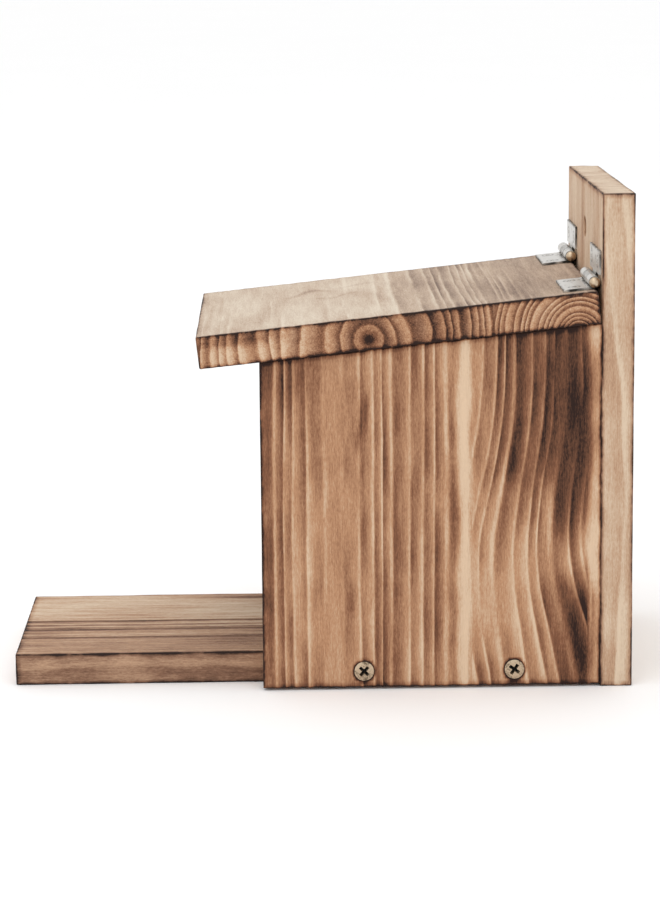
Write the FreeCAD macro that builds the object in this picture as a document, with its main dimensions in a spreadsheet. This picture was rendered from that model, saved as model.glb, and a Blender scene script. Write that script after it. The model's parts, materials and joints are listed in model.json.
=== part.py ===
"""Wooden feeding box with a hinged sloping lid and a clear front pane.

The box stands on, or hangs in front of, the XZ plane: its open front looks
along -Y, its tall back board closes it at +Y, and Z = 0 is the surface that
it stands on.  The origin is the middle of the footprint of the whole box.
"""

import FreeCAD, Part
import os
import Sketcher

# Every size that can be set by itself, in millimetres (lid_slope in degrees).
SIZES = {
    # boards
    "total_deep": 250,
    "back_wide": 120,
    "back_high": 200,
    "back_thick": 13,
    "side_thick": 13,
    "wall_deep": 136,
    "wall_high": 147.6,
    "wall_lift": 1,
    "base_thick": 13,
    "lid_side_lap": 2.5,
    "lid_front_lap": 23.3,
    "lid_thick": 13,
    "lid_slope": 5.95,
    "lid_ease": 0.3,
    "lid_back_gap": 0.5,
    "arris": 0.7,
    # hole that the box hangs by
    "hang_wide": 9,
    "hang_below_top": 20,
    # clear pane and the grooves that it stands in
    "pane_thick": 2,
    "pane_gap": 17.5,
    "pane_setback": 10,
    "groove_deep": 4,
    "groove_ease": 0.2,
    "pane_side_ease": 0.3,
    # hinges
    "hinge_long": 30,
    "hinge_inset": 6,
    "leaf_thick": 1,
    "leaf_reach": 12.5,
    "pin_wide": 2.6,
    "pin_ease": 0.05,
    "pin_tip_wide": 4.4,
    "knuckle_long": 10,
    "knuckle_gap": 0.3,
    "knuckle_ease": 0.3,
    "leaf_screw_spread": 18,
    "leaf_screw_reach": 7.6,
    # screws of the wooden frame
    "frame_screw_wide": 4,
    "frame_screw_long": 30,
    "frame_screw_tip": 4,
    "frame_head_wide": 8,
    "frame_head_deep": 2.4,
    "frame_recess_wide": 1.2,
    "frame_recess_reach": 2.4,
    "frame_recess_deep": 1.8,
    "base_screw_from_front": 40.8,
    "base_screw_from_back": 34.5,
    "base_screw_rise": 1.1,
    "back_screw_from_top": 27,
    "back_screw_from_bottom": 41,
    # screws of the hinges
    "leaf_screw_wide": 2.2,
    "leaf_screw_long": 10,
    "leaf_screw_tip": 2,
    "leaf_head_wide": 4.2,
    "leaf_recess_wide": 0.7,
    "leaf_recess_reach": 1.3,
    "leaf_recess_deep": 0.6,
    # room around every screw in its hole
    "screw_ease": 0.05,
}

# Places that follow from the sizes, as expressions on the sheet.
FRONT_Y = "(-dims.total_deep / 2)"
BACK_Y = "(dims.total_deep / 2 - dims.back_thick)"
INNER_HALF = "(dims.back_wide / 2 - dims.side_thick)"
WALL_TOP = "(dims.wall_lift + dims.wall_high)"
WALL_FRONT_Y = f"({BACK_Y} - dims.wall_deep)"
KNUCKLE_R = "(dims.pin_wide / 2 + dims.pin_ease + dims.leaf_thick)"
PIN_OFF = f"({KNUCKLE_R} + dims.knuckle_ease)"
PIN_Y = f"({BACK_Y} - {PIN_OFF})"
PIN_Z = (
    f"({WALL_TOP} - {PIN_OFF} * tan(dims.lid_slope)"
    f" + (dims.lid_ease + dims.lid_thick + {PIN_OFF}) / cos(dims.lid_slope))"
)
LID_WIDE = "(dims.back_wide + 2 * dims.lid_side_lap)"
LID_LONG = "(dims.wall_deep / cos(dims.lid_slope) + dims.lid_front_lap)"
HINGE_X = f"({LID_WIDE} / 2 - dims.hinge_inset - dims.hinge_long / 2)"
LID_REAR_Y = f"({BACK_Y} - dims.lid_back_gap)"
LID_REAR_Z = (
    f"({WALL_TOP} - dims.lid_back_gap * tan(dims.lid_slope)"
    f" + dims.lid_ease / cos(dims.lid_slope))"
)
GROOVE_Y = f"({WALL_FRONT_Y} + dims.pane_setback)"
GROOVE_WIDE = "(dims.pane_thick + 2 * dims.groove_ease)"
PANE_TOP = (
    f"({WALL_TOP} - (dims.wall_deep - dims.pane_setback) * tan(dims.lid_slope)"
    f" - dims.pane_gap)"
)

BASE_SCREW_Y = {
    "front": f"{WALL_FRONT_Y} + dims.base_screw_from_front",
    "rear": f"{BACK_Y} - dims.base_screw_from_back",
}
BACK_SCREW_Z = {
    "low": "dims.wall_lift + dims.back_screw_from_bottom",
    "high": f"{WALL_TOP} - dims.back_screw_from_top",
}
HEAD_DEEP = {"frame": "dims.frame_head_deep", "leaf": "dims.leaf_thick"}

SIDES = ("left", "right")
LEAVES = ("board", "lid")

doc = FreeCAD.newDocument("feeding_box")
dims = doc.addObject("Spreadsheet::Sheet", "dims")


def fill_sheet():
    """Write each size into its own named cell."""
    for row, (name, size) in enumerate(SIZES.items(), start=1):
        dims.set(f"A{row}", name)
        dims.set(f"B{row}", str(size))
        dims.setAlias(f"B{row}", name)
    doc.recompute()


def value(expression):
    """The number that an expression on the sheet gives now."""
    found = dims.evalExpression(expression)
    return float(getattr(found, "Value", found))


def place(across="0", along="0", up="0", axis="1; 0; 0", angle="0"):
    """Expression for a placement: a shift, and a turn about an axis."""
    return (
        f"placement(vector({across}; {along}; {up});"
        f" rotation(vector({axis}); {angle}))"
    )


def inside(frame, target):
    """Expression for a placement in the model, as seen from a piece's own frame."""
    return f"minvert({frame}) * {target}"


TURN_OVER = place(angle="180")


def new_body(name, frame):
    """Empty body for one piece, standing in its frame."""
    body = doc.addObject("PartDesign::Body", name)
    body.Label = name
    body.setExpression("Placement", frame)
    return body


def new_sketch(body, role):
    """Empty sketch on one of the body's own origin planes."""
    sketch = body.newObject("Sketcher::SketchObject", "outline")
    plane = next(item for item in body.Origin.OriginFeatures if item.Role == role)
    sketch.AttachmentSupport = [(plane, "")]
    sketch.MapMode = "FlatFace"
    return sketch


def polygon(body, role, corners):
    """Closed outline whose corners are pairs of expressions."""
    sketch = new_sketch(body, role)
    points = [FreeCAD.Vector(value(across), value(up), 0) for across, up in corners]
    following = points[1:] + points[:1]
    for start, end in zip(points, following):
        sketch.addGeometry(Part.LineSegment(start, end))
    count = len(points)
    for index in range(count):
        after = (index + 1) % count
        sketch.addConstraint(Sketcher.Constraint("Coincident", index, 2, after, 1))
    for index, corner in enumerate(corners):
        for kind, expression in zip(("DistanceX", "DistanceY"), corner):
            bond = Sketcher.Constraint(kind, -1, 1, index, 1, value(expression))
            number = sketch.addConstraint(bond)
            sketch.setExpression(f"Constraints[{number}]", expression)
    return sketch


def circle(body, role, radius):
    """Round outline about the body's own origin."""
    sketch = new_sketch(body, role)
    centre = FreeCAD.Vector(0, 0, 0)
    sketch.addGeometry(Part.Circle(centre, FreeCAD.Vector(0, 0, 1), value(radius)))
    sketch.addConstraint(Sketcher.Constraint("Coincident", 0, 3, -1, 1))
    number = sketch.addConstraint(Sketcher.Constraint("Radius", 0, value(radius)))
    sketch.setExpression(f"Constraints[{number}]", radius)
    return sketch


def pad(body, sketch, length, symmetric=False):
    """Solid raised from an outline, to one side or half to each side."""
    feature = body.newObject("PartDesign::Pad", "board")
    feature.Profile = sketch
    feature.SideType = "Symmetric" if symmetric else "One side"
    feature.setExpression("Length", length)
    doc.recompute()
    return feature


def ease_arrises(body, feature):
    """Small rounding on every edge of a sawn board."""
    rounding = body.newObject("PartDesign::Fillet", "arrises")
    edges = [f"Edge{number + 1}" for number in range(len(feature.Shape.Edges))]
    rounding.Base = (feature, edges)
    rounding.setExpression("Radius", "dims.arris")
    doc.recompute()


def bore(body, where, radius, depth):
    """Round hole from a mouth at a placement, against that placement's Z."""
    tool = body.newObject("PartDesign::SubtractiveCylinder", "bore")
    tool.setExpression("Radius", radius)
    tool.setExpression("Height", depth)
    tool.setExpression("Placement", f"{where} * {TURN_OVER}")


def slot(body, where, long, wide, high):
    """Square-cornered cut that starts at one corner of a box."""
    tool = body.newObject("PartDesign::SubtractiveBox", "slot")
    tool.setExpression("Length", long)
    tool.setExpression("Width", wide)
    tool.setExpression("Height", high)
    tool.setExpression("Placement", where)


def screw_hole(body, frame, head, kind, depth):
    """Hole for a screw's shank; the screw's head lies at a place in the model."""
    radius = f"dims.{kind}_screw_wide / 2 + dims.screw_ease"
    bore(body, inside(frame, head), radius, depth)


def countersink(body, frame, head, kind):
    """Conical seat for a screw's head."""
    sink = body.newObject("PartDesign::SubtractiveCone", "countersink")
    sink.setExpression("Radius1", f"dims.{kind}_head_wide / 2 + dims.screw_ease")
    sink.setExpression("Radius2", f"dims.{kind}_screw_wide / 2 + dims.screw_ease")
    sink.setExpression("Height", HEAD_DEEP[kind])
    sink.setExpression("Placement", f"{inside(frame, head)} * {TURN_OVER}")


def bite_depth(kind):
    """How far a screw's blind hole reaches from the head's face."""
    return f"dims.{kind}_screw_long + dims.screw_ease"


# Where each screw's head lies, with its +Z turned out of the wood.


def base_screw_head(side, row):
    """Screw through a side wall into the edge of the base board."""
    sign = "-" if side == "left" else ""
    across = f"{sign}dims.back_wide / 2"
    up = "dims.base_thick / 2 + dims.base_screw_rise"
    return place(across, BASE_SCREW_Y[row], up, "0; 1; 0", f"{sign}90")


def back_screw_head(side, row):
    """Screw through the back board into the rear edge of a side wall."""
    sign = "-" if side == "left" else ""
    across = f"{sign}({INNER_HALF} + dims.side_thick / 2)"
    return place(across, "dims.total_deep / 2", BACK_SCREW_Z[row], angle="-90")


def pin_middle(side):
    """Middle of a hinge pin, with the frame of the whole box."""
    sign = "-" if side == "left" else ""
    return place(f"{sign}{HINGE_X}", PIN_Y, PIN_Z)


def leaf_frame(side, part):
    """Frame of a leaf: X along the pin, Y out over the leaf, the wood under -Z."""
    if part == "board":
        turn = place(angle="90")
    else:
        turn = place(angle="dims.lid_slope") + " * " + place(axis="0; 0; 1", angle="180")
    return f"{pin_middle(side)} * {turn}"


def leaf_screw_head(side, part, row):
    """Screw through a leaf, its head level with the leaf's outer face."""
    away = 1 if side == "right" else -1
    if row == "inner":
        away = -away
    if part == "lid":
        away = -away
    across = f"{away} * dims.leaf_screw_spread / 2"
    head = place(across, "dims.leaf_screw_reach", f"dims.leaf_thick - {PIN_OFF}")
    return f"{leaf_frame(side, part)} * {head}"


# The pieces.


def make_back_board():
    """Tall board that carries the box, with the hole that it hangs by."""
    frame = place(along="dims.total_deep / 2")
    body = new_body("back_board", frame)
    half = "dims.back_wide / 2"
    high = "dims.back_high"
    corners = [(f"-{half}", "0"), (half, "0"), (half, high), (f"-{half}", high)]
    board = pad(body, polygon(body, "XZ_Plane", corners), "dims.back_thick")
    ease_arrises(body, board)
    hang_mouth = place(up="dims.back_high - dims.hang_below_top", angle="-90")
    bore(body, hang_mouth, "dims.hang_wide / 2", "dims.back_thick")
    for side in SIDES:
        for row in ("low", "high"):
            head = back_screw_head(side, row)
            screw_hole(body, frame, head, "frame", "dims.back_thick")
            countersink(body, frame, head, "frame")
        for row in ("inner", "outer"):
            head = leaf_screw_head(side, "board", row)
            screw_hole(body, frame, head, "leaf", bite_depth("leaf"))


def make_side_wall(side):
    """Wall with a sloping top, a groove for the pane and holes for its screws."""
    if side == "left":
        inner_face = "dims.side_thick"
        groove_start = "dims.side_thick - dims.groove_deep"
        frame = place("-dims.back_wide / 2")
    else:
        inner_face = "0"
        groove_start = inner_face
        frame = place(INNER_HALF)
    body = new_body(f"{side}_side_wall", frame)
    front_top = f"{WALL_TOP} - dims.wall_deep * tan(dims.lid_slope)"
    corners = [
        (WALL_FRONT_Y, "dims.wall_lift"),
        (BACK_Y, "dims.wall_lift"),
        (BACK_Y, WALL_TOP),
        (WALL_FRONT_Y, front_top),
    ]
    board = pad(body, polygon(body, "YZ_Plane", corners), "dims.side_thick")
    ease_arrises(body, board)
    corner = place(groove_start, GROOVE_Y, "dims.base_thick")
    slot(body, corner, "dims.groove_deep", GROOVE_WIDE, "dims.wall_high")
    for row in ("front", "rear"):
        head = base_screw_head(side, row)
        screw_hole(body, frame, head, "frame", "dims.side_thick")
        countersink(body, frame, head, "frame")
    for row in ("low", "high"):
        screw_hole(body, frame, back_screw_head(side, row), "frame", bite_depth("frame"))


def make_base_board():
    """Floor of the box, which runs forward as an open landing."""
    frame = place()
    body = new_body("base_board", frame)
    corners = [
        (f"-{INNER_HALF}", FRONT_Y),
        (INNER_HALF, FRONT_Y),
        (INNER_HALF, BACK_Y),
        (f"-{INNER_HALF}", BACK_Y),
    ]
    board = pad(body, polygon(body, "XY_Plane", corners), "dims.base_thick")
    ease_arrises(body, board)
    for side in SIDES:
        for row in ("front", "rear"):
            screw_hole(body, frame, base_screw_head(side, row), "frame", bite_depth("frame"))


def make_lid():
    """Sloping roof board, drilled for the screws of both hinges."""
    frame = place(along=LID_REAR_Y, up=LID_REAR_Z, angle="dims.lid_slope")
    body = new_body("lid", frame)
    corners = [
        (f"-{LID_LONG}", "0"),
        ("0", "0"),
        ("0", "dims.lid_thick"),
        (f"-{LID_LONG}", "dims.lid_thick"),
    ]
    board = pad(body, polygon(body, "YZ_Plane", corners), LID_WIDE, symmetric=True)
    ease_arrises(body, board)
    for side in SIDES:
        for row in ("inner", "outer"):
            head = leaf_screw_head(side, "lid", row)
            screw_hole(body, frame, head, "leaf", bite_depth("leaf"))


def make_front_pane():
    """Clear pane that stands on the base board in the grooves of both walls."""
    frame = place(along=f"{GROOVE_Y} + dims.groove_ease + dims.pane_thick", up="dims.base_thick")
    body = new_body("front_pane", frame)
    half = f"({INNER_HALF} + dims.groove_deep - dims.pane_side_ease)"
    high = f"{PANE_TOP} - dims.base_thick"
    corners = [(f"-{half}", "0"), (half, "0"), (half, high), (f"-{half}", high)]
    pad(body, polygon(body, "XZ_Plane", corners), "dims.pane_thick")


def make_leaf(side, part):
    """Hinge leaf: a plate rolled round the pin, notched for the other leaf's knuckles."""
    frame = leaf_frame(side, part)
    body = new_body(f"{side}_hinge_{part}_leaf", frame)
    pad(body, circle(body, "YZ_Plane", KNUCKLE_R), "dims.hinge_long", symmetric=True)
    outer_face = f"dims.leaf_thick - {PIN_OFF}"
    corners = [
        ("0", f"-{PIN_OFF}"),
        ("dims.leaf_reach", f"-{PIN_OFF}"),
        ("dims.leaf_reach", outer_face),
        ("0", outer_face),
    ]
    pad(body, polygon(body, "YZ_Plane", corners), "dims.hinge_long", symmetric=True)
    pin_mouth = place("dims.hinge_long / 2", axis="0; 1; 0", angle="90")
    bore(body, pin_mouth, "dims.pin_wide / 2 + dims.pin_ease", "dims.hinge_long")
    if part == "lid":
        starts = ["-dims.knuckle_long / 2 - dims.knuckle_gap"]
        long = "dims.knuckle_long + 2 * dims.knuckle_gap"
    else:
        starts = ["-dims.hinge_long / 2", "dims.knuckle_long / 2"]
        long = "(dims.hinge_long - dims.knuckle_long) / 2"
    reach = f"{PIN_OFF} + dims.knuckle_ease"
    for start in starts:
        corner = place(start, f"-{PIN_OFF}", f"-{PIN_OFF}")
        slot(body, corner, long, f"{PIN_OFF} + {reach}", f"2 * {PIN_OFF}")
    for row in ("inner", "outer"):
        head = leaf_screw_head(side, part, row)
        screw_hole(body, frame, head, "leaf", "dims.leaf_thick")
        countersink(body, frame, head, "leaf")


def make_pin(side):
    """Hinge pin with a domed tip beyond each end of the barrel."""
    frame = pin_middle(side) + " * " + place(axis="0; 1; 0", angle="90")
    body = new_body(f"{side}_hinge_pin", frame)
    shank = circle(body, "XY_Plane", "dims.pin_wide / 2")
    pad(body, shank, "dims.hinge_long + 2 * dims.knuckle_gap", symmetric=True)
    for angle in ("0", "180"):
        tip = body.newObject("PartDesign::AdditiveSphere", "tip")
        tip.setExpression("Radius", "dims.pin_tip_wide / 2")
        tip.Angle1 = 0
        end = place(up="dims.hinge_long / 2 + dims.knuckle_gap")
        tip.setExpression("Placement", f"{place(angle=angle)} * {end}")


def make_screw(name, head, kind):
    """Countersunk wood screw with a crossed recess."""
    body = new_body(name, head)
    shank = f"dims.{kind}_screw_wide / 2"
    corners = [
        ("0", "0"),
        (f"dims.{kind}_head_wide / 2", "0"),
        (shank, f"-{HEAD_DEEP[kind]}"),
        (shank, f"dims.{kind}_screw_tip - dims.{kind}_screw_long"),
        ("0", f"-dims.{kind}_screw_long"),
    ]
    profile = polygon(body, "XZ_Plane", corners)
    turned = body.newObject("PartDesign::Revolution", "turned")
    turned.Profile = profile
    turned.ReferenceAxis = (profile, ["V_Axis"])
    turned.Angle = 360
    doc.recompute()
    arm = f"dims.{kind}_recess_wide / 2"
    reach = f"dims.{kind}_recess_reach"
    corner = [(reach, f"-{arm}"), (reach, arm), (arm, arm)]
    cross = []
    for quarter in range(4):
        cross += corner
        corner = [(f"-({up})", across) for across, up in corner]
    recess = body.newObject("PartDesign::Pocket", "recess")
    recess.Profile = polygon(body, "XY_Plane", cross)
    recess.setExpression("Length", f"dims.{kind}_recess_deep")
    doc.recompute()
    if recess.Shape.Volume >= turned.Shape.Volume:
        raise RuntimeError(f"the recess of {name} cuts nothing")


def make_screws():
    """Every screw of the wooden frame and of the hinges."""
    for side in SIDES:
        for row in ("front", "rear"):
            make_screw(f"{side}_base_screw_{row}", base_screw_head(side, row), "frame")
        for row in ("low", "high"):
            make_screw(f"{side}_back_screw_{row}", back_screw_head(side, row), "frame")
        for part in LEAVES:
            for row in ("inner", "outer"):
                name = f"{side}_hinge_{part}_screw_{row}"
                make_screw(name, leaf_screw_head(side, part, row), "leaf")


def make_pieces():
    """Every separate piece of the box."""
    make_back_board()
    make_base_board()
    make_lid()
    make_front_pane()
    for side in SIDES:
        make_side_wall(side)
        make_pin(side)
        for part in LEAVES:
            make_leaf(side, part)
    make_screws()


def write_parts():
    """Check every object, then write each piece to a file named after it."""
    doc.recompute()
    for item in doc.Objects:
        if "Invalid" in item.State or "Error" in item.State:
            raise RuntimeError(f"{item.Label} failed: {item.State}")
    bodies = doc.findObjects("PartDesign::Body")
    for body in bodies:
        if body.Shape.isNull() or not body.Shape.isValid() or len(body.Shape.Solids) != 1:
            raise RuntimeError(f"{body.Label} is not one sound solid")
    os.makedirs("parts", exist_ok=True)
    for body in bodies:
        body.Shape.exportStep(f"parts/{body.Label}.step")
        print(f"{body.Label}: {body.Shape.Volume:.1f} mm3")


fill_sheet()
make_pieces()
write_parts()
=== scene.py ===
"""Looks of a torched wooden feeding box with a hinged sloping lid and a clear front pane.

The CAD frame holds every size and place.  Here its boards get their grain, their
scorched colour and their worn arrises, and its screws, hinges and pane their finish.
"""

import json
import math

import bpy
import numpy as np
from mathutils import Matrix, Vector


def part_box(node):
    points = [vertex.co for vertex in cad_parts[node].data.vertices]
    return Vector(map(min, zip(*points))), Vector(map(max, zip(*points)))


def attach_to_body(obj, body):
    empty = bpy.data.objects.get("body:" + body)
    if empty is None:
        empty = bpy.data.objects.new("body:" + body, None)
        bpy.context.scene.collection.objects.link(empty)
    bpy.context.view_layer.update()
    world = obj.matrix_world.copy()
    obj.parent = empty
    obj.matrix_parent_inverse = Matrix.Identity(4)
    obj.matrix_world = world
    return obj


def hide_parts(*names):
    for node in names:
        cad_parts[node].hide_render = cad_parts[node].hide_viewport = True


bl_info = {
    "name": "Torched feeding box",
    "version": (1, 0, 0),
    "blender": (4, 5, 0),
    "location": "View3D > Sidebar > Feeding Box",
    "description": "Boards, screws, hinges and pane of a torched wooden feeding box",
    "category": "Object",
}

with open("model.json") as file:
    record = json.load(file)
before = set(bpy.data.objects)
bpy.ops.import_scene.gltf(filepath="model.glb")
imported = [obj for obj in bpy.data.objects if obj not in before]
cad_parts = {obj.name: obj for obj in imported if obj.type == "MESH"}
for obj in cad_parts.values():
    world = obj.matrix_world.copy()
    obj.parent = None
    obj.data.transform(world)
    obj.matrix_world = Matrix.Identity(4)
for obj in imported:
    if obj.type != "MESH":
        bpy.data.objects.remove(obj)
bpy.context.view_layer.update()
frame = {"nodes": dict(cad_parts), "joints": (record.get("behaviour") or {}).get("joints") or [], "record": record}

MM = 0.001

# Half the width of a glue line in a board, in millimetres.
SEAM_HALF = 0.01

# Range of the angle that a screw was left turned to.
LEAST_TURN = math.radians(38)
MOST_TURN = math.radians(56)

# Radius of a screw's shank and depth of its head, as shares of the head's width.
SHANK_SHARE = 0.25
SEAT_SHARE = 0.3

# Heights of the finest texture of wood and of plated metal, in metres.
WOOD_RISE = 0.00022
PLATE_RISE = 0.00004

# How far the flame browned all end grain, and how much more at a pith, as (strength,
# spread in millimetres) pairs.
END_SCORCH = 0.15
PITH_SCORCH = ((0.5, 2.2), (0.14, 8.0))

# How strongly each texture of the wood darkens it.
BURN_SHARES = {"fibre": 0.34, "streak": 0.2, "patch": 0.36, "speck": 0.46, "arris": 0.75}

# Turn of the hue for wood that has lost all its colour.
GREY_HUE = 0.042

SIDES = ("left", "right")
BASE_SCREWS = {side: [f"{side}_base_screw_{row}" for row in ("front", "rear")] for side in SIDES}
BACK_SCREWS = {side: [f"{side}_back_screw_{row}" for row in ("low", "high")] for side in SIDES}
LEAF_SCREWS = {part: [f"{side}_hinge_{part}_screw_{row}" for side in SIDES
                      for row in ("inner", "outer")] for part in ("board", "lid")}

# Growth rings and scorch of each board.  "across" runs over the board's width,
# "along" down its grain and "depth" in from its show face, all in millimetres.
# A stave ends at "upto" across.  A heart stave has its pith at (across, depth); its
# rings start at "first" from the pith, stand "ring" apart and change by "growth" each;
# "crowd" draws them together on the far side of the pith.
# A side stave has its rings side by side: "line" is where one of them runs and
# "apart" how far they stand apart, both as (along, millimetres) pairs.
# "sway" is how far the lines wander.  A patch is (across, along, half width, half
# length, strength): of scorch, or in "quiet" of how far the ring lines fade there.
# An end patch has (across, depth, half width, half depth, strength), on end grain.
# "wander" is how far the edges of the patches drift across; 0.8 where it isn't given.
FIGURES = {
    "right_side_wall": {
        "staves": [
            {"upto": 84.4, "pith": (29, 5), "first": 3.2, "ring": 3.9, "growth": 0.1, "sway": 0.35},
            {"upto": 130.9, "sway": 0.5, "lean": 0.3,
             "line": [(0, 120.6), (24, 115.5), (40, 112), (60, 110.6), (76, 112.2), (107, 116.7),
                      (150, 117.6)],
             "apart": [(0, 7.2), (24, 6.8), (40, 6.2), (60, 5.7), (107, 5), (150, 4.8)]},
            {"upto": 136, "sway": 0.2, "lean": 0.2, "line": [(0, 133), (150, 133)],
             "apart": [(0, 6), (150, 6)]},
        ],
        "patches": [
            (9, 142, 17, 30, 0.3),
            (4, 60, 7, 100, 0.1),
            (39, 112, 1.2, 11, 0.34),
            (42, 116, 1.2, 8, 0.25),
            (29, 90, 5, 5, 0.1),
            (81.5, 70, 3.1, 200, -0.34),
            (60, 70, 16, 200, 0.04),
            (50, 22, 5, 26, 0.14),
            (52, 78, 2.4, 26, 0.12),
            (64, 104, 2.6, 30, 0.12),
            (70, 40, 3, 34, 0.12),
            (20, 92, 7, 12, 0.07),
            (20, 48, 7, 14, -0.07),
            (34, 26, 2, 20, 0.12),
            (104, 122, 14, 42, 0.3),
            (114, 88, 6, 22, 0.12),
            (123.5, 109, 9.5, 48, 1.1),
            (127, 14, 7, 27, 0.62),
            (117, 36, 5, 18, 0.2),
            (121.5, 60, 4.5, 11, -0.34),
            (129, 56, 2.4, 8, -0.14),
            (97, 34, 14, 24, -0.16),
            (134, 75, 3.2, 200, -0.36),
        ],
        "quiet": [
            (30, 70, 9, 200, 0.75),
            (81.5, 70, 3.4, 200, 0.7),
            (92, 38, 12, 18, 0.5),
            (134, 75, 3.2, 200, 0.6),
            (124.5, 112, 9, 42, 0.7),
        ],
    },
    "left_side_wall": {
        "staves": [
            {"upto": 58, "sway": 0.6, "lean": 0.3,
             "line": [(0, 30), (50, 33), (100, 29), (150, 31)],
             "apart": [(0, 6.5), (60, 5), (150, 5.6)]},
            {"upto": 136, "pith": (96, 6), "first": 3.6, "ring": 4.2, "growth": 0.1, "sway": 0.5},
        ],
        "patches": [
            (12, 120, 14, 40, 0.32),
            (48, 40, 9, 50, 0.36),
            (120, 110, 14, 44, 0.34),
            (70, 20, 12, 24, 0.2),
            (84, 90, 6, 60, -0.12),
        ],
        "quiet": [(97, 70, 9, 200, 0.7), (30, 70, 8, 40, 0.3)],
    },
    "back_board": {
        "staves": [
            {"upto": 57, "sway": 0.5, "lean": 0.5,
             "line": [(0, 30), (100, 32), (200, 29)], "apart": [(0, 4.6), (200, 4.2)]},
            {"upto": 120, "sway": 0.4, "lean": -0.4,
             "line": [(0, 90), (120, 88), (200, 90)], "apart": [(0, 3.4), (200, 3.8)]},
        ],
        "patches": [
            (20, 40, 14, 60, 0.22),
            (92, 120, 12, 60, 0.16),
            (52, 150, 8, 40, 0.12),
        ],
        "quiet": [(60, 185, 70, 30, 0.5)],
        "end_patches": [(60, 6, 200, 60, -0.18)],
    },
    "base_board": {
        "staves": [
            {"upto": 43, "sway": 0.5, "lean": 0.5,
             "line": [(0, 20), (120, 21.5), (240, 19)], "apart": [(0, 5.4), (240, 5.0)]},
            {"upto": 69, "sway": 0.3, "lean": 0.4,
             "line": [(0, 56), (240, 57)], "apart": [(0, 4.2), (240, 4.4)]},
            {"upto": 94, "sway": 0.4, "lean": 0.3,
             "line": [(0, 80), (240, 81.5)], "apart": [(0, 4.0), (240, 3.6)]},
        ],
        "patches": [
            (57.5, 118, 3.2, 300, 0.4),
            (50.5, 118, 1.4, 300, 0.16),
            (43.8, 118, 1, 300, 0.6),
            (69.2, 118, 1, 300, 0.6),
            (80, 110, 13, 300, 0.16),
            (24, 118, 18, 300, -0.12),
            (6, 94, 2.4, 24, 0.4),
            (94.6, 118, 1, 500, 0.3),
        ],
        "quiet": [(20, 118, 22, 400, 0.6), (82, 118, 12, 400, 0.75)],
        "wander": 0.2,
    },
    "lid": {
        "staves": [
            {"upto": 118, "pith": (68, 8.8), "first": 11, "ring": 8, "growth": -0.25, "sway": 0.7,
             "crowd": 0.006},
            {"upto": 160.1, "pith": (151, 15.6), "first": 1, "ring": 1.6, "growth": 0.04,
             "sway": 0.3},
        ],
        "patches": [
            (101, 62, 17, 140, 0.16),
            (46, 37, 9, 2.6, 0.18),
            (56, 52, 8, 2.2, 0.1),
            (66, 28, 9, 2.2, 0.1),
            (140, 62, 22, 140, 0.26),
        ],
        "end_patches": [
            (68, 9, 14, 14, 0.22),
            (98, 6, 18, 14, 0.24),
            (142, 6, 24, 14, 0.05),
            (14, 3, 16, 2.4, 0.3),
            (22, 10, 20, 5, -0.14),
            (46, 9, 8, 10, 0.1),
        ],
        "quiet": [(33, 62, 46, 200, 0.85), (142, 62, 22, 200, 0.8), (100, 62, 18, 200, 0.2)],
    },
}

# Which way each board lies: axes of its width, grain and thickness, and the end of
# its thickness that is its show face.
LAY = {
    "right_side_wall": {"axes": (1, 2, 0), "show": 1},
    "left_side_wall": {"axes": (1, 2, 0), "show": 0},
    "back_board": {"axes": (0, 2, 1), "show": 0},
    "base_board": {"axes": (0, 1, 2), "show": 1},
    "lid": {"axes": (1, 0, 2), "show": 1},
}


# ---------------------------------------------------------------- sizes and colours


def number_setting(name, description, default, **more):
    """Setting that holds one number."""
    return bpy.props.FloatProperty(name=name, description=description, default=default, **more)


def share_setting(name, description, default):
    """Setting that holds a share between 0 and 1."""
    return number_setting(name, description, default, subtype="FACTOR", min=0, max=1)


def colour_setting(name, description, default):
    """Setting that holds a colour."""
    return bpy.props.FloatVectorProperty(
        name=name, description=description, default=default, subtype="COLOR", min=0, max=1)


class WoodSettings(bpy.types.PropertyGroup):
    """Sizes and colours of the torched boards."""

    arris: number_setting("Arris", "Rounding of the board edges, in millimetres", 0.6)
    wear: number_setting("Arris wear", "Share by which the rounding varies", 0.25)
    relief: number_setting(
        "Relief", "Depth of the soft wood between the ring lines, in millimetres", 0.14)
    fine_cell: number_setting("Fine cell", "Mesh spacing across the grain, in millimetres", 0.55)
    long_cell: number_setting("Long cell", "Mesh spacing along the grain, in millimetres", 1.6)
    deep_cell: number_setting(
        "Deep cell", "Mesh spacing through the thickness, in millimetres", 0.8)
    bare: colour_setting("Bare wood", "Colour that the flame left alone", (0.64, 0.455, 0.305))
    toasted: colour_setting(
        "Toasted wood", "Colour after a light pass of the flame", (0.47, 0.238, 0.122))
    browned: colour_setting(
        "Browned wood", "Colour after a slow pass of the flame", (0.215, 0.082, 0.038))
    scorched: colour_setting(
        "Scorched wood", "Colour of the darkest scorch", (0.026, 0.011, 0.008))


class MetalSettings(bpy.types.PropertyGroup):
    """Colours of the plated metal and sizes of the screws."""

    brass: colour_setting("Brass plate", "Colour of the frame screws", (0.56, 0.44, 0.31))
    zinc: colour_setting("Zinc plate", "Colour of the hinge leaves", (0.60, 0.58, 0.545))
    tarnish: colour_setting("Tarnish", "Colour of the stained plating", (0.16, 0.12, 0.08))
    screw_stain: share_setting("Screw stain", "Share of the frame screws that is stained", 0.5)
    leaf_stain: share_setting("Leaf stain", "Share of the hinge leaves that is stained", 0.43)
    pin_stain: share_setting("Pin stain", "Share of the hinge pins that is stained", 0.42)
    thread_pitch: number_setting(
        "Thread pitch", "Rise of a frame screw's thread, in millimetres", 1.8)


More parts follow.
